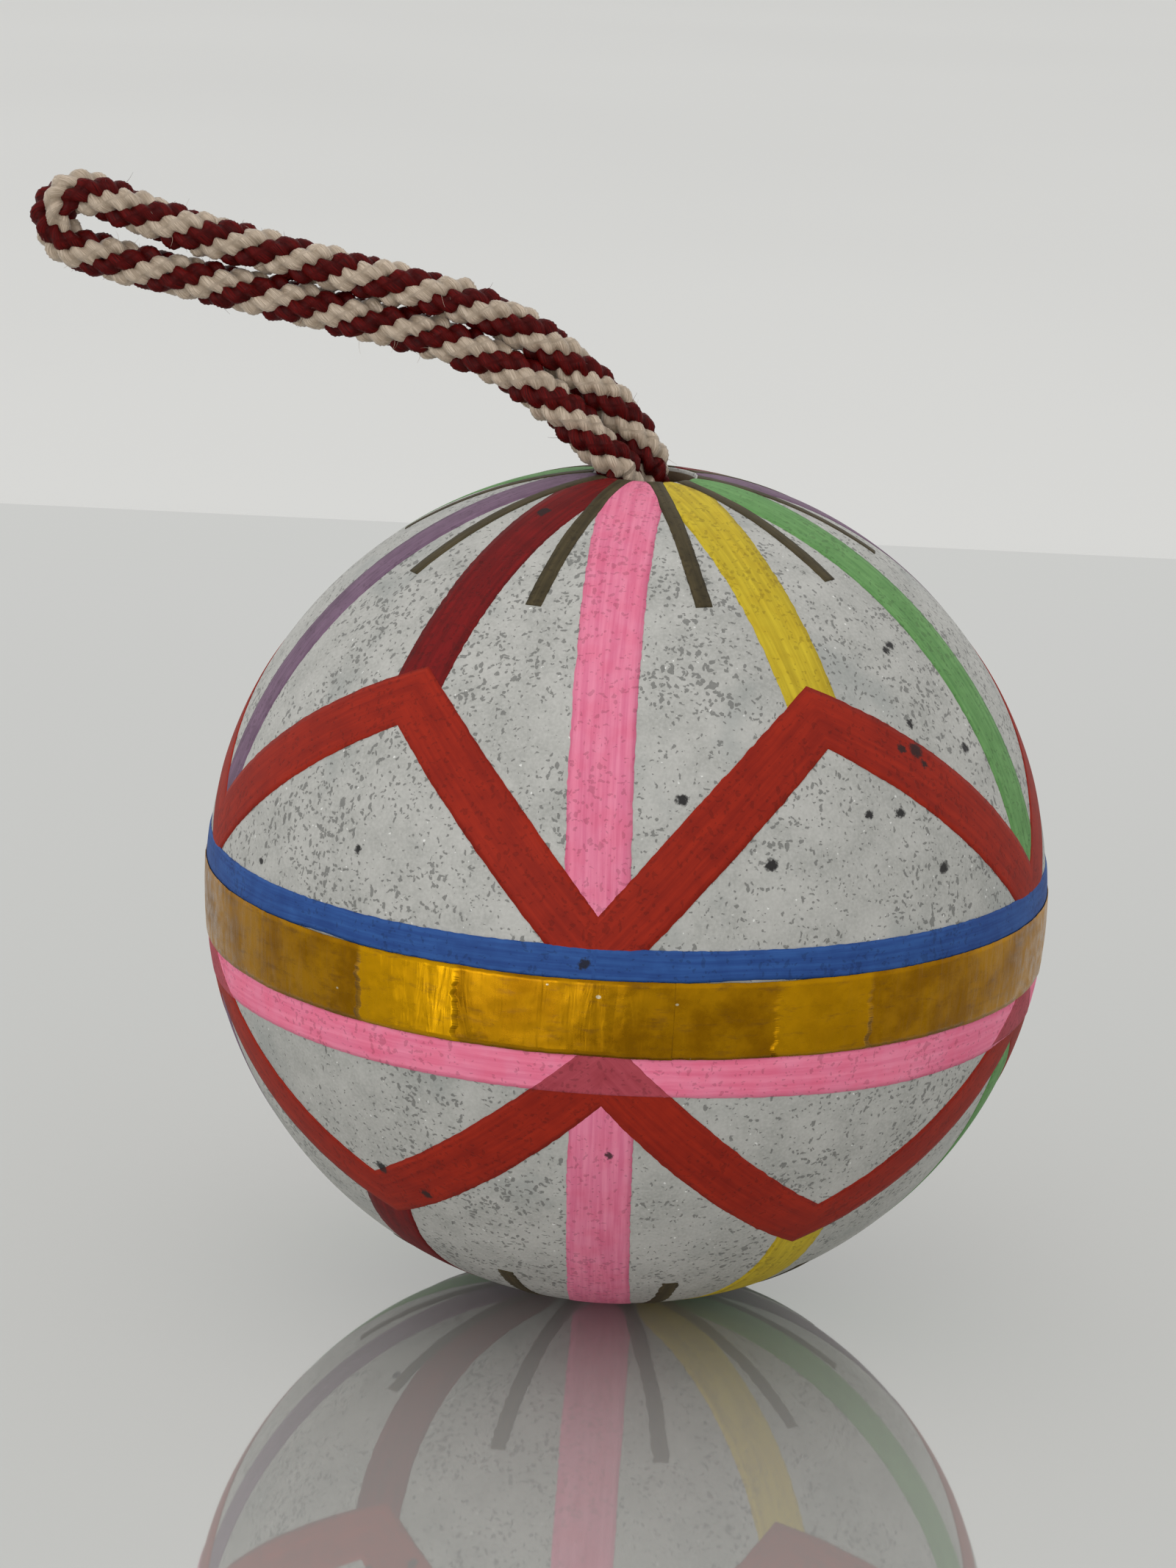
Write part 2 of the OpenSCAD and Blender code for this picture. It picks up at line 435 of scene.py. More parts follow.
def yarn_finish(name, bright, dark_tone_and_shade, specular, sheen):
    """Silky twisted yarn: fine fibres that run along each ply, with painted shade darkening the grooves
    between the plies.
    """
    f = Finish(name, roughness=0.42, specular=specular)
    f.shader.inputs["Sheen Weight"].default_value = sheen
    f.shader.inputs["Sheen Roughness"].default_value = 0.5
    fibres = f.noise(f.stored("yarn", (1.5, 9.0, 1)), scale=1.0, detail=3.0, roughness=0.6)
    groove_shade = f.node("SeparateXYZ", Vector=f.stored("yarn")).outputs[2]
    tone = f.mix(f.fade(fibres, 0.3, 0.7), dark_tone_and_shade, bright)
    # Painted shade: the grooves between the plies take the shaded colour.
    tone = f.mix(f.fade(groove_shade, 0.45, 1.0, 0.75, 0.0), tone, dark_tone_and_shade)
    patch = f.fade(f.noise(f.place(), scale=0.45, detail=2.0), 0.35, 0.7)
    tone = f.mix(f.math("MULTIPLY", patch, 0.3), tone, dark_tone_and_shade)
    return f.done(tone, f.bump(fibres, 0.05, 0.6))


def paper_finish():
    """Raw brown paper strip."""
    f = Finish("collar_paper", roughness=0.85, specular=0.2)
    fibres = f.noise(f.place(1.0, (0.4, 0.4, 3.0)), scale=1.0, detail=6.0, roughness=0.7)
    tone = f.mix(f.fade(fibres, 0.3, 0.7), linear(168, 148, 118), linear(196, 180, 150))
    return f.done(tone, f.bump(fibres, 0.05, 0.5))


def pellet_finish():
    """Raw fired clay with darker grit."""
    f = Finish("pellet_clay", roughness=0.8, specular=0.3)
    body = f.noise(f.place(), scale=0.6, detail=6.0, roughness=0.65)
    tone = f.mix(f.fade(body, 0.3, 0.7), linear(138, 92, 62), linear(176, 124, 86))
    distance, _ = f.cells(f.place(), scale=1.6)
    grit = f.fade(distance, 0.12, 0.2, 1.0, 0.0)
    tone = f.mix(f.math("MULTIPLY", grit, 0.6), tone, linear(84, 60, 44))
    return f.done(tone, f.bump(body, 0.12, 0.6))


def floor_finish():
    """Plain pale sheet with a clear gloss."""
    f = Finish("floor_pale", roughness=0.03, metallic=0.5)
    f.shader.inputs["IOR"].default_value = 1.9
    tint = f.noise(f.place(0.004), scale=1.0, detail=2.0)
    return f.done(f.mix(tint, linear(206, 207, 204), linear(211, 212, 209)))


def backdrop_finish():
    """Plain matt backdrop."""
    f = Finish("backdrop_pale", roughness=0.9, specular=0.1)
    tint = f.noise(f.place(0.003), scale=1.0, detail=2.0)
    return f.done(f.mix(tint, linear(232, 232, 230), linear(238, 238, 236)))


# ---------------------------------------------------------------- cord
# Route outside the ball: x, y and height above the ball's top, in millimetres
ROUTE_MM = [
    (-1.6, -1.1, 0), (-2.9, -1.2, 1.2), (-4.5, -1.1, 2.7), (-6.4, -0.8, 4.3), (-8.7, -0.6, 5.9),
    (-11.5, -0.3, 7.3), (-15, 0, 8.4), (-19, 0, 9.2), (-23.5, 0, 10.1), (-27.5, 0, 10.8),
    (-31.5, 0, 11.5), (-35.5, 0, 12.2), (-38.5, 0, 12.8), (-40.8, 0, 13.4), (-42, 0, 14.5),
    (-42.2, 0, 15.9), (-41.4, 0, 17), (-39.8, 0, 17.3), (-37.5, 0, 16.5), (-34.5, 0, 15.5),
    (-30.5, 0, 14.5), (-26.5, 0, 13.7), (-22, 0, 12.8), (-17.5, 0, 11.9), (-13, 0.2, 10.9),
    (-9.1, 0.5, 9.3), (-5.9, 0.9, 7.1), (-3.2, 1.2, 4.8), (-1.2, 1.3, 2.5), (0.1, 1.3, 0)
]
# The stretch outside the ball runs between the two legs
STRANDS = 4
LAY_MM = 9.0              # length of cord in one turn of its strands
PLY_LAY_MM = 2.1          # length of strand in one turn of its two plies
PLY_OFFSET, PLY_R = 0.38, 0.62    # place and radius of a strand's two plies, as shares of the strand's
STRAND_R = 0.85 * MM
STRAND_PROUD = 0.22 * MM  # how far the strands' crowns stand out past the cord's nominal diameter
STRAND_SPREAD = CORD_D / 2 - STRAND_R + STRAND_PROUD
RING_STEP = 0.13 * MM
RING_SIDES = 18
LAY_START = 0.30          # turn of the strands at the start of the cord
SPAN_POINTS, SMOOTHING_PASSES = 40, 60


def smooth_line(points, step):
    """Points a step apart along a smooth curve through the given points."""
    p = np.asarray(points, float)
    ends = np.vstack([2 * p[0] - p[1], p, 2 * p[-1] - p[-2]])
    dense = []
    for a, b, c, d in zip(ends, ends[1:], ends[2:], ends[3:]):
        t = np.linspace(0, 1, SPAN_POINTS, endpoint=False)[:, None]
        dense.append(0.5 * (2 * b + (c - a) * t + (2 * a - 5 * b + 4 * c - d) * t**2
                            + (3 * b - a - 3 * c + d) * t**3))
    dense = np.vstack([*dense, p[-1:]])
    for _ in range(SMOOTHING_PASSES):
        dense[1:-1] = 0.25 * dense[:-2] + 0.5 * dense[1:-1] + 0.25 * dense[2:]
    length = np.concatenate([[0], np.cumsum(np.linalg.norm(np.diff(dense, axis=0), axis=1))])
    at = np.linspace(0, length[-1], max(8, round(length[-1] / step)) + 1)
    return np.stack([np.interp(at, length, dense[:, k]) for k in range(3)], -1), at


def carried_frame(line, first_side):
    """Tangents, and a side direction carried along the line without twist."""
    tangent = unit(np.gradient(line, axis=0))
    side = np.zeros_like(line)
    current = np.asarray(first_side, float)
    for i, t in enumerate(tangent):
        current = current - (current @ t) * t
        current /= np.linalg.norm(current)
        side[i] = current
    return tangent, side


def lumps(points, seed):
    """Factor of about 1 that makes a strand lumpy, at each of a grid of points."""
    flat = points.reshape(-1, 3) / MM
    rough = [noise.noise(Vector(p) * 1.1 + Vector((9.0 * seed, 0, 0))) for p in flat]
    return 1 + 0.22 * np.array(rough).reshape(points.shape[:-1])


def strand_rings(line, at, first_side, strand, seed=0):
    """Rings of points round one strand of a cord that follows line, and the yarn coordinates there."""
    tangent, side = carried_frame(line, first_side)
    other = np.cross(tangent, side)
    turn = TAU * (LAY_START + strand / STRANDS) - TAU * at / (LAY_MM * MM)
    loose = np.array([1 + 0.035 * wobble(s / MM, 5 + strand + seed, 3.0) for s in at])
    outward = np.cos(turn)[:, None] * side + np.sin(turn)[:, None] * other
    centre = line + STRAND_SPREAD * loose[:, None] * outward
    forward = unit(np.gradient(centre, axis=0))
    out = unit(outward - np.sum(outward * forward, 1)[:, None] * forward)
    across = np.cross(forward, out)
    travelled = np.concatenate([[0], np.cumsum(np.linalg.norm(np.diff(centre, axis=0), axis=1))])
    ply_turn = TAU * travelled / (PLY_LAY_MM * MM) + strand
    angle = np.linspace(0, TAU, RING_SIDES, endpoint=False)[None, :]
    lobe = (angle - ply_turn[:, None]) % (TAU / 2) - TAU / 4
    reach = PLY_OFFSET * np.cos(lobe) + np.sqrt(PLY_R**2 - (PLY_OFFSET * np.sin(lobe)) ** 2)
    full = np.array([1 + 0.06 * wobble(s / MM, 40 + strand + seed, 1.2) for s in travelled])
    ray = np.cos(angle)[..., None] * out[:, None] + np.sin(angle)[..., None] * across[:, None]
    reach = reach * lumps(centre[:, None] + STRAND_R * ray, seed + strand) * full[:, None]
    rings = centre[:, None] + STRAND_R * reach[..., None] * ray
    yarn = np.stack([np.broadcast_to(travelled[:, None] / MM, reach.shape),
                     np.broadcast_to((angle - ply_turn[:, None]) / TAU * 4, reach.shape), reach], -1)
    return rings, yarn


class RopeMesh:
    """Collects strands into one mesh."""

    def __init__(self):
        self.verts, self.faces, self.kinds, self.yarn, self.count = [], [], [], [], 0

    def add(self, rings, yarn, kind):
        rows, columns = rings.shape[:2]
        quads = grid_faces(rows, columns, self.count, wrap_columns=True)[:, ::-1]
        self.faces += quads.tolist()
        self.faces.append(list(range(self.count, self.count + columns)))
        last = self.count + (rows - 1) * columns
        self.faces.append(list(range(last + columns - 1, last - 1, -1)))
        self.kinds += [kind] * (len(quads) + 2)
        self.verts.append(rings.reshape(-1, 3))
        self.yarn.append(yarn.reshape(-1, 3))
        self.count += rows * columns

    def piece(self, name, materials):
        made = add_mesh(name, np.concatenate(self.verts), self.faces, materials, self.kinds)
        add_vectors(made, "yarn", np.concatenate(self.yarn))
        return made


def cord_line():
    """The whole cord: up one leg from its cut end, round the loop and down the other leg."""
    low = tails_low.z
    heights = [low + k * (MOUTH_Z - low) / 6 for k in range(6)]
    middle = [(x * MM, y * MM, MOUTH_Z + z * MM) for x, y, z in ROUTE_MM]
    start = [(*middle[0][:2], z) for z in heights]
    end = [(*middle[-1][:2], z) for z in reversed(heights)]
    return smooth_line([*start, *middle, *end], RING_STEP)


def build_cord(yarns):
    """The loop, the legs in the hole, the knot and the cut ends, sliced from one continuous cord."""
    line, at = cord_line()
    tip = int(np.argmin(line[:, 0]))
    height = line[:, 2]

    def between(low, high):
        """Ranges of rings on each leg whose height lies between low and high."""
        rising = [i for i in range(tip) if low <= height[i] <= high]
        falling = [i for i in range(tip, len(line)) if low <= height[i] <= high]
        return [(rising[0], rising[-1] + 2), (falling[0] - 1, falling[-1] + 1)]

    mouth_up = max(i for i in range(tip) if height[i] <= MOUTH_Z)
    mouth_down = min(i for i in range(tip, len(line)) if height[i] <= MOUTH_Z)
    ranges = {
        "cord_rope": [(mouth_up, mouth_down + 1)],
        "leg_ropes": between(legs_low.z, MOUTH_Z),
        "knot_ropes": between(knot_low.z, knot_high.z),
        "tail_ropes": between(tails_low.z, tails_high.z),
    }
    ropes = {name: RopeMesh() for name in ranges}
    for strand in range(STRANDS):
        rings, yarn = strand_rings(line, at, (0, 1, 0), strand)
        for name, parts in ranges.items():
            for first, last in parts:
                ropes[name].add(rings[first:last], yarn[first:last], strand % 2)
    wrap, wrap_at = knot_wrap()
    for strand in range(STRANDS):
        rings, yarn = strand_rings(wrap, wrap_at, (0, 0, 1), strand, seed=20)
        ropes["knot_ropes"].add(rings, yarn, strand % 2)
    pieces = {name: rope.piece(name, yarns) for name, rope in ropes.items()}
    outside = line[mouth_up:mouth_down + 1]
    return pieces, outside


KNOT_TURNS = 1.9
KNOT_STEPS = 32


def knot_wrap():
    """The turns of cord wound round the two legs inside the ball."""
    wrap_r = (knot_high.x - knot_low.x) / 2 - CORD_D / 2
    low, high = knot_low.z + CORD_D / 2, knot_high.z - CORD_D / 2
    points = []
    for k in range(KNOT_STEPS + 1):
        share = k / KNOT_STEPS
        angle = TAU * KNOT_TURNS * share
        points.append((wrap_r * math.cos(angle), wrap_r * math.sin(angle), low + (high - low) * share))
    return smooth_line(points, RING_STEP * 1.5)


FUZZ_COUNT = 420
FUZZ_R = 0.016 * MM
FUZZ_RINGS, FUZZ_SIDES = 5, 3


def build_fuzz(rope, yarns):
    """Short stray fibres that stand off the cord."""
    rng = random.Random(7)
    mesh = rope.data
    verts, faces, kinds = [], [], []
    for _ in range(FUZZ_COUNT):
        polygon = mesh.polygons[rng.randrange(len(mesh.polygons))]
        start, out = polygon.center.copy(), polygon.normal.copy()
        lean = Vector((rng.uniform(-1, 1), rng.uniform(-1, 1), rng.uniform(-1, 1)))
        length = rng.uniform(0.25, 0.9) * MM
        curl = Vector((rng.uniform(-1, 1), rng.uniform(-1, 1), rng.uniform(-1, 1))) * 0.5
        direction = (out + 0.7 * lean).normalized()
        first = len(verts)
        for k in range(FUZZ_RINGS):
            share = k / (FUZZ_RINGS - 1)
            centre = start + direction * length * share + curl * length * share * share
            radius = FUZZ_R * (1 - 0.6 * share)
            side = direction.orthogonal().normalized()
            other = direction.cross(side)
            for corner in range(FUZZ_SIDES):
                a = TAU * corner / FUZZ_SIDES
                verts.append(centre + radius * (math.cos(a) * side + math.sin(a) * other))
        quads = grid_faces(FUZZ_RINGS, FUZZ_SIDES, first, wrap_columns=True)[:, ::-1].tolist()
        root = list(range(first, first + FUZZ_SIDES))
        tip = list(range(len(verts) - 1, len(verts) - 1 - FUZZ_SIDES, -1))
        faces += quads + [root, tip]
        kinds += [polygon.material_index] * (len(quads) + 2)
    piece = add_mesh("cord_fuzz", verts, faces, yarns, kinds)
    add_vectors(piece, "yarn", np.ones((len(verts), 3)))
    return piece


# ---------------------------------------------------------------- painted pattern
STEP_DEG = 0.5            # spacing of points along a stroke, in degrees of the ball
POLE_LATITUDE = 83.0      # strokes begin at the edge of the hole
# Corners of the red zigzags: degrees round from the front, and degrees above the seam
UPPER_ZIGZAG = [(0, 5.4), (33.1, 36.1), (74, 5.5), (108, 36), (144, 6), (180, 36.5), (216, 6.5),
                (252, 35.5), (288.5, 8.8), (326, 35.6)]
LOWER_ZIGZAG = [(1.5, -9), (37.2, -37), (73, -9), (108, -36.5), (144, -9), (180, -37), (216, -9),
                (252, -36), (288, -9), (323.8, -36)]
ZIGZAG_W = 3.8
WIDE, NARROW, SLIM = 4.3, 3.9, 3.4
# Colour and width in mm of the ten stripes, going round from the front towards +X
STRIPES = [("pink", WIDE), ("yellow", NARROW), ("green", WIDE), ("purple", NARROW), ("dark_red", WIDE),
           ("yellow", NARROW), ("pink", WIDE), ("green", NARROW), ("purple", SLIM), ("dark_red", NARROW)]
# Azimuths at which the stripes leave the holes' edges; the hand that drew them leaned to the back at the top
UPPER_STARTS = [-3.6, 28.5, 66, 104, 142, 178, 216, 254, 293, 325.5]
LOWER_STARTS = [1.4, 45, 82, 114, 147, 180, 213, 246, 278, 302]
BLUE_TOP, BLUE_BOTTOM = 7.0, 2.7
PINK_TOP, PINK_BOTTOM = -7.0, -12.3
TICK_W = 1.15
TICK_ENDS_UP = [53, 56, 57, 55, 53, 56, 54, 56, 52.5, 51.5]
TICK_ENDS_DOWN = [-51.6, -53, -55, -52, -54, -52, -55, -53, -54, -51.6]


def stroke(name, azimuths, latitudes, widths_mm, lift_mm, material, seed, columns=9, ragged=0.08):
    """A brush stroke along a line of azimuths and latitudes, with slightly unsteady edges."""
    centre = on_ball(np.asarray(azimuths, float), np.asarray(latitudes, float))
    forward = unit(np.gradient(centre, axis=0))
    across = unit(np.cross(centre, forward))
    steps = np.linalg.norm(np.diff(centre, axis=0), axis=1)
    travelled = np.concatenate([[0], np.cumsum(steps)]) * BALL_R / MM
    edge = np.linspace(-1, 1, columns)
    rows = []
    for i, s in enumerate(travelled):
        left = widths_mm[i] / 2 + 0.07 * wobble(s, seed, 4.0) + ragged * wobble(s, seed + 50, 0.45)
        right = widths_mm[i] / 2 + 0.07 * wobble(s, seed + 90, 4.0) + ragged * wobble(s, seed + 70, 0.45)
        offset = np.where(edge < 0, edge * left, edge * right)
        rows.append(np.stack([np.full(columns, s), offset], -1))
    rows = np.array(rows)
    directions = unit(centre[:, None] + across[:, None] * rows[..., 1:] * (MM / BALL_R))
    lift = lift_mm * MM * (1 - 0.45 * np.abs(edge) ** 6)[None, :] * np.ones((len(rows), 1))
    strokes = np.concatenate([rows, np.full((*rows.shape[:2], 1), seed)], -1)
    return coat(name, directions, lift, material, strokes)


def brush_start(latitude):
    """Share of a stroke's width as the brush sets down at the hole's edge."""
    travelled = (POLE_LATITUDE - np.abs(latitude)) * TAU / 360 * BALL_R / MM
    return np.sqrt(np.clip(0.12 + travelled / 2.2, 0, 1))


def build_stripes(paints):
    """Ten stripes in the upper half and ten below, from the poles to the zigzags."""
    pieces = []
    for half, zigzag, starts in ((1, UPPER_ZIGZAG, UPPER_STARTS), (-1, LOWER_ZIGZAG, LOWER_STARTS)):
        word = "upper" if half > 0 else "lower"
        for k, (colour, width) in enumerate(STRIPES):
            end_azimuth, end_latitude = zigzag[k]
            turn = (end_azimuth - starts[k] + 180) % 360 - 180
            count = round((POLE_LATITUDE - abs(end_latitude)) / STEP_DEG)
            share = np.linspace(0, 1, count)
            latitude = half * (POLE_LATITUDE - (POLE_LATITUDE - abs(end_latitude)) * share)
            azimuth = starts[k] + turn * share
            room = TAU * BALL_R / MM * np.cos(np.radians(latitude)) / 10
            widths = np.minimum(width, room * (1.25 if width == WIDE else 0.9)) * brush_start(latitude)
            name = f"paint_{word}_stripe_{k}_{colour}"
            lift = 0.05 if width == WIDE else 0.035
            piece = stroke(name, azimuth, latitude, widths, lift, paints[colour], seed=k + 11 * (half > 0))
            pieces.append((piece, "paint_" + colour))
    return pieces


def build_ticks(paints):
    """The short olive strokes between the stripes at both poles."""
    pieces = []
    for half, ends, starts in ((1, TICK_ENDS_UP, UPPER_STARTS), (-1, TICK_ENDS_DOWN, LOWER_STARTS)):
        word = "upper" if half > 0 else "lower"
        for k, end in enumerate(ends):
            start = starts[k] + (starts[(k + 1) % 10] - starts[k]) % 360 / 2
            turn = (36 * k + 17 - start + 180) % 360 - 180
            count = round((POLE_LATITUDE - abs(end)) / STEP_DEG)
            latitude = np.linspace(half * POLE_LATITUDE, end, count)
            room = TAU * BALL_R / MM * np.cos(np.radians(latitude)) / 10
            widths = np.minimum(TICK_W, room * 0.6)
            ragged = 0.04 if half > 0 else 0.16
            name = f"paint_{word}_tick_{k}"
            azimuths = start + turn * np.linspace(0, 1, count) ** 0.6
            piece = stroke(name, azimuths, latitude, widths, 0.06, paints["olive"], k + 31, 5, ragged)
            pieces.append((piece, "paint_olive"))
    return pieces


def zigzag_grid(corners, columns=11):
    """Directions, stroke coordinates and places across of a mitred zigzag band round the ball."""
    points = on_ball(*np.array(corners, float).T)
    half = ZIGZAG_W / 2 * MM / BALL_R
    left, right = [], []
    for k, p in enumerate(points):
        before, after = points[k - 1], points[(k + 1) % len(points)]
        arrive = unit(p - before - ((p - before) @ p) * p)
        leave = unit(after - p - ((after - p) @ p) * p)
        normal = unit(np.cross(p, arrive) + np.cross(p, leave))
        mitre = half / max(0.3, float(np.cross(p, arrive) @ normal))
        left.append(unit(p + normal * mitre))
        right.append(unit(p - normal * mitre))
    edge = np.linspace(-1, 1, columns)
    grid, strokes, travelled = [], [], 0.0
    for k in range(len(points)):
        m = (k + 1) % len(points)
        limb = float(np.linalg.norm(points[m] - points[k])) * BALL_R / MM
        steps = round(limb / 0.25)
        for i in range(steps):
            t = i / steps
            a = unit(left[k] * (1 - t) + left[m] * t)
            b = unit(right[k] * (1 - t) + right[m] * t)
            s = travelled + limb * t
            calm = min(1.0, 8 * t, 8 * (1 - t))
            shift_a = (0.05 * wobble(s, 61, 3.0) + 0.08 * wobble(s, 62, 0.45)) * MM / BALL_R * calm
            shift_b = (0.05 * wobble(s, 63, 3.0) + 0.08 * wobble(s, 64, 0.45)) * MM / BALL_R * calm
            width = unit(a - b)
            a, b = a + width * shift_a, b - width * shift_b
            mix = (edge[:, None] + 1) / 2
            grid.append(unit(a * mix + b * (1 - mix)))
            strokes.append(np.stack([np.full(columns, s), edge * ZIGZAG_W / 2, np.zeros(columns)], -1))
        travelled += limb
    return np.array(grid), np.array(strokes), edge


def build_zigzags(paints):
    """Two red zigzag bands, one in each half."""
    pieces = []
    for name, corners in (("paint_upper_zigzag", UPPER_ZIGZAG), ("paint_lower_zigzag", LOWER_ZIGZAG)):
        grid, strokes, edge = zigzag_grid(corners)
        lift = 0.08 * MM * (1 - 0.4 * np.abs(edge) ** 6)[None, :] * np.ones((len(grid), 1))
        piece = coat(name, grid, lift, paints["red"], strokes, closed=True)
        pieces.append((piece, "paint_red"))
    return pieces


def ring_edges(kind, azimuth):
    """Upper and lower edge, in degrees, of a painted ring at an azimuth. Both wander a little."""
    s = azimuth / 360 * TAU * BALL_R / MM
    if kind == "blue":
        top = BLUE_TOP + 0.25 * wobble(s, 71, 14) + 0.10 * wobble(s, 72, 0.5)
        # The blue stops a little above the foil at two places
        gaps = 0.55 * math.exp(-((azimuth - 20) / 9) ** 2) + 0.5 * math.exp(-((azimuth - 321) / 7) ** 2)
        return top, BLUE_BOTTOM + gaps + 0.08 * wobble(s, 73, 0.6)
    lower = PINK_BOTTOM + 0.35 * wobble(s, 75, 12) + 0.10 * wobble(s, 76, 0.5)
    # The pink sags where the brush came round to the right
    sag = 0.9 * math.exp(-((azimuth - 45) / 25) ** 2)
    return PINK_TOP, lower - sag


def build_rings(paints):
    """The blue ring above the foil and the pink ring below it."""
    pieces = []
    columns = 9
    for kind in ("blue", "pink"):
        azimuths = np.arange(0, 360, 0.5)
        edges = np.array([ring_edges(kind, a) for a in azimuths])
        share = np.linspace(0, 1, columns)
        latitude = edges[:, :1] * (1 - share) + edges[:, 1:] * share
        grid = on_ball(np.repeat(azimuths[:, None], columns, 1), latitude)[::-1]
        along = np.repeat(azimuths[:, None], columns, 1)[::-1] / 360 * TAU * BALL_R / MM
        across = share[None, :] * np.ones_like(along) * 2.5
        strokes = np.stack([along, across, np.full_like(along, 3)], -1)
        lift = 0.11 * MM * (1 - 0.4 * np.abs(2 * share - 1) ** 6)[None, :] * np.ones_like(along)
        piece = coat(f"paint_{kind}_ring", grid, lift, paints[kind + "_ring"], strokes, closed=True)
        pieces.append((piece, "paint_" + kind))
    return pieces


def build_overlaps(paints):
    """The darker area where the pink ring crosses the red zigzag, cut out of the zigzag's own grid."""
    grid, strokes, _ = zigzag_grid(LOWER_ZIGZAG, columns=25)
    lift = np.full(grid.shape[:2], 0.12 * MM)
    piece = coat("paint_pink_over_red", grid, lift, paints["pink_over_red"], strokes, closed=True)
    low = BALL_R * math.sin(math.radians(PINK_BOTTOM - 0.05))
    high = BALL_R * math.sin(math.radians(PINK_TOP))
    made = bmesh.new()
    made.from_mesh(piece.data)
    for height, side in ((low, -1), (high, 1)):
        everything = made.verts[:] + made.edges[:] + made.faces[:]
        cut = bmesh.ops.bisect_plane(made, geom=everything, plane_co=(0, 0, height),
                                     plane_no=(0, 0, side), clear_outer=True)
        rim = [e for e in cut["geom_cut"] if isinstance(e, bmesh.types.BMEdge)]
        bmesh.ops.holes_fill(made, edges=rim, sides=0)
    made.to_mesh(piece.data)
    made.free()
    return [(piece, "paint_pink")]


# ---------------------------------------------------------------- ball, foil, pellet
def build_shells(material):
    """The two half shells, uneven outside, with a softened edge at the cord hole."""
    turns, steps = 320, 150
    lip_round, lip_drop, pole = 0.12 * MM, 0.10 * MM, 89.7
    azimuth = np.arange(turns) * 360 / turns
    inner_r = BALL_R - WALL
    pieces = []
    hole_latitude = math.degrees(math.acos(HOLE_R / BALL_R))
    hole_inner = math.degrees(math.acos(HOLE_R / inner_r))
    for name, half, low_latitude, high_latitude in (
        ("shell_top", 1, 0.03, hole_latitude - 0.6), ("shell_bottom", -1, 0.03, pole),
    ):
        outer = np.linspace(low_latitude, high_latitude, steps)
        inner = np.linspace(hole_inner if half > 0 else pole, low_latitude, steps // 3)
        rows = []
        for latitude in outer:
            directions = on_ball(azimuth, np.full(turns, half * latitude))
            rows.append(directions * ball_radius(directions)[:, None])
        if half > 0:
            for share in (0.5, 1.0):
                radius = HOLE_R + lip_round * (1 - share)
                height = math.sqrt(BALL_R**2 - HOLE_R**2) - lip_drop * share - 0.02 * MM
                ring = on_ball(azimuth, np.zeros(turns)) * radius
                ring[:, 2] = height
                rows.append(ring)
        for latitude in inner:
            rows.append(on_ball(azimuth, np.full(turns, half * latitude)) * inner_r)
        grid = np.array(rows)
        faces = grid_faces(len(rows), turns, 0, wrap_rows=half > 0, wrap_columns=True)
        if half < 0:
            ring = np.arange(turns)
            outside, inside = (steps - 1) * turns, steps * turns
            keep = faces[(faces[:, 0] // turns) != steps - 1]
            last = (len(rows) - 1) * turns
            rim = np.stack([last + ring, ring, (ring + 1) % turns, last + (ring + 1) % turns], -1)
            caps = [list(outside + ring), list(inside + ring[::-1])]
            faces = [*np.concatenate([keep, rim])[:, ::-1].tolist(), *caps]
        else:
            faces = faces[:, ::-1].tolist()
        piece = add_mesh(name, grid.reshape(-1, 3), faces, [material])
        pieces.append(piece)
    return pieces


FOIL_JOIN = 4.0           # azimuth of the foil's overlapping end
# Panels of the foil that lean back, painted brighter gold as highlights: start and end along the strip in mm,
# strength
FOIL_LEAN_AND_HIGHLIGHT_PANELS = [(170, 177.5, 1.0), (10.5, 17.5, 0.5), (60, 72, 0.7), (112, 118, 0.5)]
FOIL_RISE = 0.20 * MM
FOIL_SINK = -0.125 * MM   # the strip's underside stays this far above the shell
FOIL_TURN = 366           # degrees of the strip, a little more than once round
FOIL_LAP = 358.5          # degrees after which it climbs onto its own start


def build_foil(material):
    """The foil strip: creased, not quite even along its edges, with its end lapped over its start."""
    columns, count = 15, 1500
    turn = np.linspace(0, FOIL_TURN, count)
    top_z, bottom_z = foil_high.z, foil_low.z
    rows, lifts, strokes = [], [], []
    share = np.linspace(0, 1, columns)
    for t in turn:
        s = math.radians(t) * BALL_R / MM
        top = top_z - 0.10 * MM * abs(wobble(s, 81, 6)) - 0.05 * MM * abs(wobble(s, 82, 0.7))
        bottom = bottom_z + 0.12 * MM * abs(wobble(s, 83, 7)) + 0.05 * MM * abs(wobble(s, 84, 0.7))
        z = top * (1 - share) + bottom * share
        latitude = np.degrees(np.arcsin(z / BALL_R))
        rows.append(on_ball(np.full(columns, FOIL_JOIN + t), latitude))
        flat = 0.045 * MM * (2 * share - 1) ** 2
        crease = [0.030 * MM * noise.noise(Vector((s * 0.42, 1.1 * u, 7.0)))
                  + 0.016 * MM * noise.noise(Vector((s * 1.3, 1.5 * u, 9.0))) for u in share]
        lap = 0.05 * MM * min(1.0, max(0.0, (t - FOIL_LAP) / 1.5))
        lifts.append(FOIL_RISE - 0.05 * MM + flat * 0.5 + np.array(crease) + lap)
        strokes.append(np.stack([np.full(columns, s), share * (top - bottom) / MM, np.ones(columns)], -1))
    return coat("foil_band", np.array(rows), np.array(lifts), material, np.array(strokes), sink=FOIL_SINK)


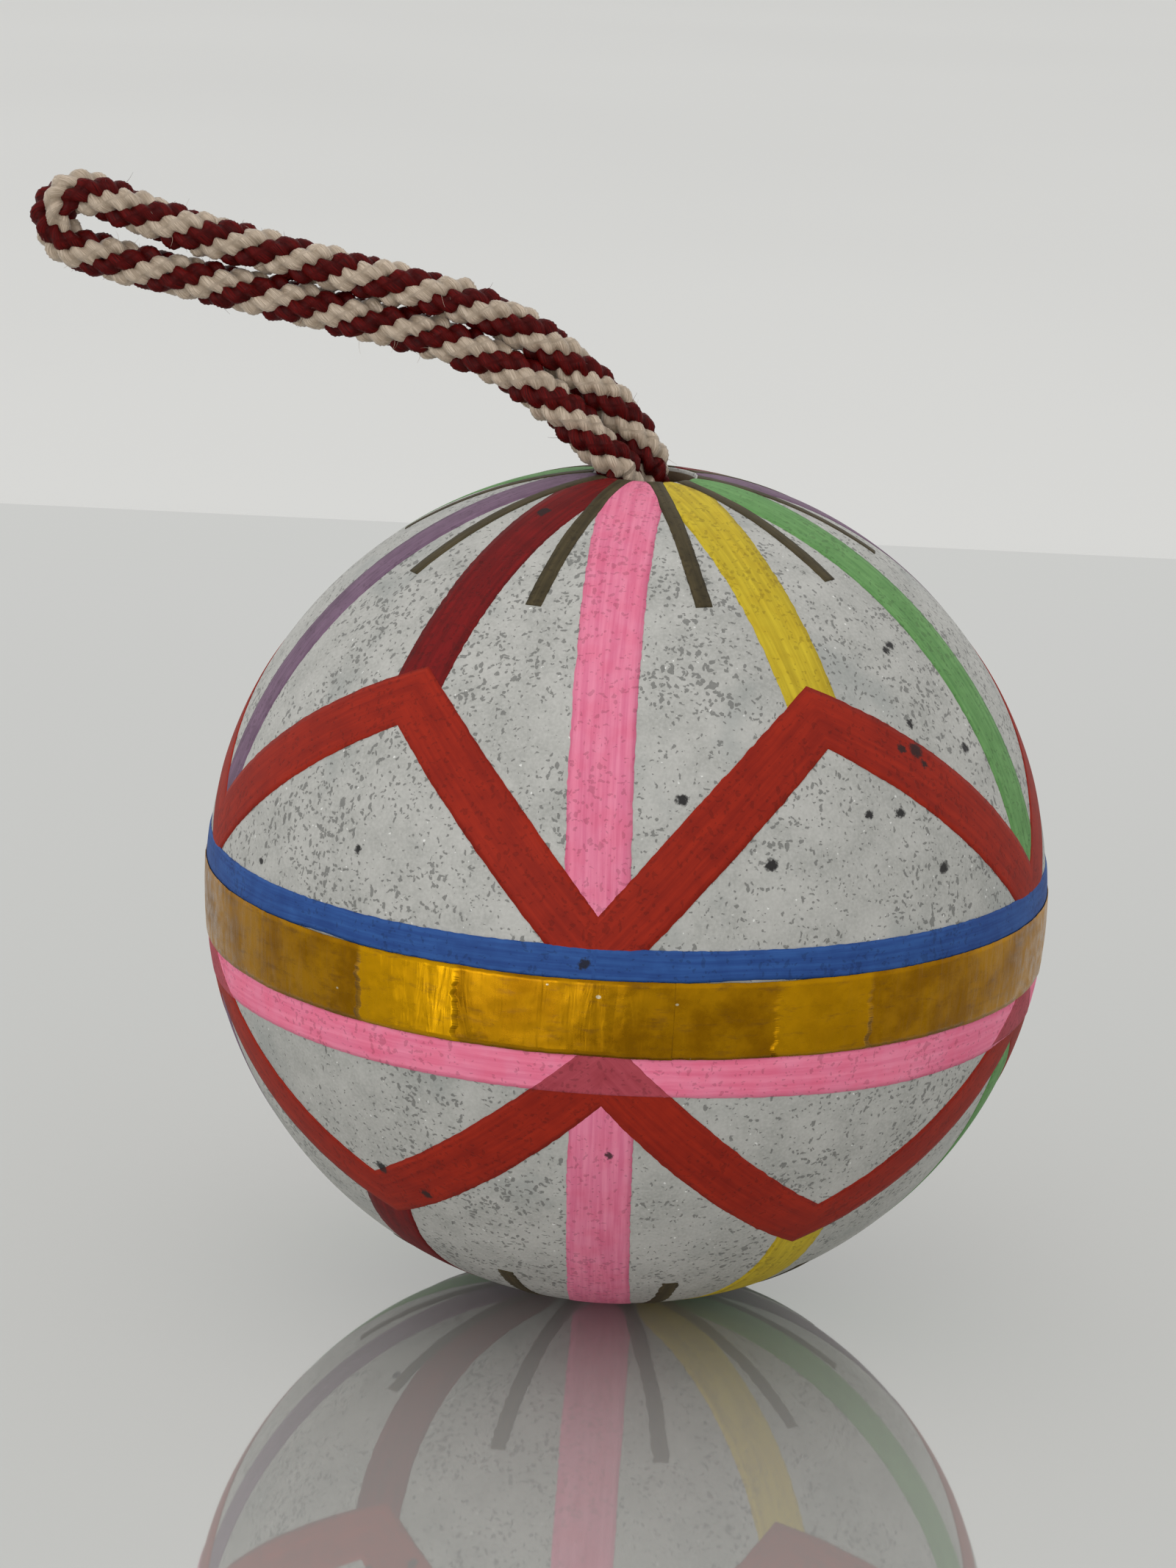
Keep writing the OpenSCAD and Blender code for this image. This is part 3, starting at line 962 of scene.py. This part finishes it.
def build_pellet(material):
    """A slightly uneven pellet."""
    centre = (pellet_low + pellet_high) / 2
    radius = (pellet_high.x - pellet_low.x) / 2
    turns, steps = 96, 48
    azimuth = np.arange(turns) * 360 / turns
    verts = []
    for k in range(steps):
        directions = on_ball(azimuth, np.full(turns, -89 + 178 * k / (steps - 1)))
        for d in directions:
            verts.append(Vector(d) * radius * (0.985 + 0.015 * noise.noise(Vector(d) * 2.5)) + centre)
    faces = grid_faces(steps, turns, 0, wrap_columns=True)[:, ::-1].tolist()
    faces += [list(range(turns)), list(range(steps * turns - 1, (steps - 1) * turns - 1, -1))]
    return add_mesh("pellet", verts, faces, [material])


# ---------------------------------------------------------------- stage
def build_stage():
    """Glossy pale sheet in front of a pale backdrop, under soft light from all round."""
    floor_z = -BALL_R - 0.15 * MM
    near, far, wide = -1.5, 0.30, 2.5
    slant, back, low = 0.15, 3.0, floor_z - 0.004
    sheet = [(-wide, near, floor_z), (wide, near, floor_z),
             (wide, far + slant, floor_z), (-wide, far - slant, floor_z)]
    behind = [(-wide, near, low), (wide, near, low), (wide, back, low), (-wide, back, low)]
    floor = add_mesh("floor", sheet, [(0, 1, 2, 3)], [floor_finish()], smooth=False)
    backdrop = add_mesh("backdrop", behind, [(0, 1, 2, 3)], [backdrop_finish()], smooth=False)
    world = bpy.data.worlds.new("soft_room")
    world.use_nodes = True
    background = world.node_tree.nodes["Background"]
    background.inputs["Color"].default_value = (1.0, 1.0, 0.99, 1)
    background.inputs["Strength"].default_value = 0.76
    bpy.context.scene.world = world
    for name, place, size, power, mirrored in (
        ("top_light", (-0.1, -0.15, 0.7), 0.6, 0.6, False),
        ("front_light", (-0.35, -0.75, 0.10), 0.5, 1.5, True),
    ):
        data = bpy.data.lights.new(name, "AREA")
        data.size = size
        data.energy = power
        light = bpy.data.objects.new(name, data)
        light.location = place
        light.rotation_mode = "QUATERNION"
        light.rotation_quaternion = (-Vector(place)).to_track_quat("-Z", "Y")
        light.visible_camera = False
        light.visible_glossy = mirrored
        bpy.context.scene.collection.objects.link(light)
    bpy.context.scene.view_settings.view_transform = "Standard"


# ---------------------------------------------------------------- assembly
def main():
    make_camera()
    yarns = [
        # Each yarn's second colour is its shaded copy: it tints darker fibres and patches, and is painted
        # shade in the grooves between the plies.
        yarn_finish("yarn_dark_red", linear(110, 14, 13), linear(54, 6, 6), specular=0.1, sheen=0.0),
        yarn_finish("yarn_beige", linear(227, 207, 185), linear(155, 136, 114), specular=0.6, sheen=0.25),
    ]
    ropes, outside = build_cord(yarns)
    loop = ropes["cord_rope"]
    fuzz = build_fuzz(loop, yarns)
    for piece in (loop, fuzz):
        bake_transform(piece)
    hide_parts("cord_loop", "cord_bend")
    inside = {"leg_ropes": "cord_legs", "knot_ropes": "stopper_knot", "tail_ropes": "cord_tails"}
    for name, node in inside.items():
        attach(ropes[name], "cord_root")
        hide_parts(node)

    shell_top, shell_bottom = build_shells(shell_finish())
    for piece, node in ((shell_top, "upper_shell"), (shell_bottom, "lower_shell")):
        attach(piece, "ball")
        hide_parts(node)
    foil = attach(build_foil(foil_finish()), "ball")
    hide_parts("gold_foil_band")

    colours = {
        "red": ((165, 37, 12), (143, 28, 9)),
        "dark_red": ((127, 12, 14), (99, 7, 10)),
        "pink": ((241, 142, 171), (225, 117, 151)),
        "yellow": ((216, 191, 46), (187, 163, 36)),
        "green": ((116, 166, 99), (98, 149, 86)),
        "purple": ((134, 105, 130), (112, 87, 109)),
        "olive": ((84, 73, 48), (64, 56, 36)),
        "blue_ring": ((50, 93, 160), (38, 74, 141)),
        "pink_ring": ((252, 147, 177), (239, 122, 156)),
        "pink_over_red": ((187, 79, 92), (171, 66, 80)),
    }
    paints = {name: paint_finish("paint_" + name, linear(*a), linear(*b)) for name, (a, b) in colours.items()}
    painted = build_stripes(paints) + build_ticks(paints) + build_zigzags(paints)
    painted += build_rings(paints) + build_overlaps(paints)
    for piece, slot in painted:
        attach(piece, "ball")

    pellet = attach(build_pellet(pellet_finish()), "pellet")
    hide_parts("rattle_pellet")
    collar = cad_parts["seam_collar"]
    collar.data.materials.clear()
    collar.data.materials.append(paper_finish())

    build_stage()


main()
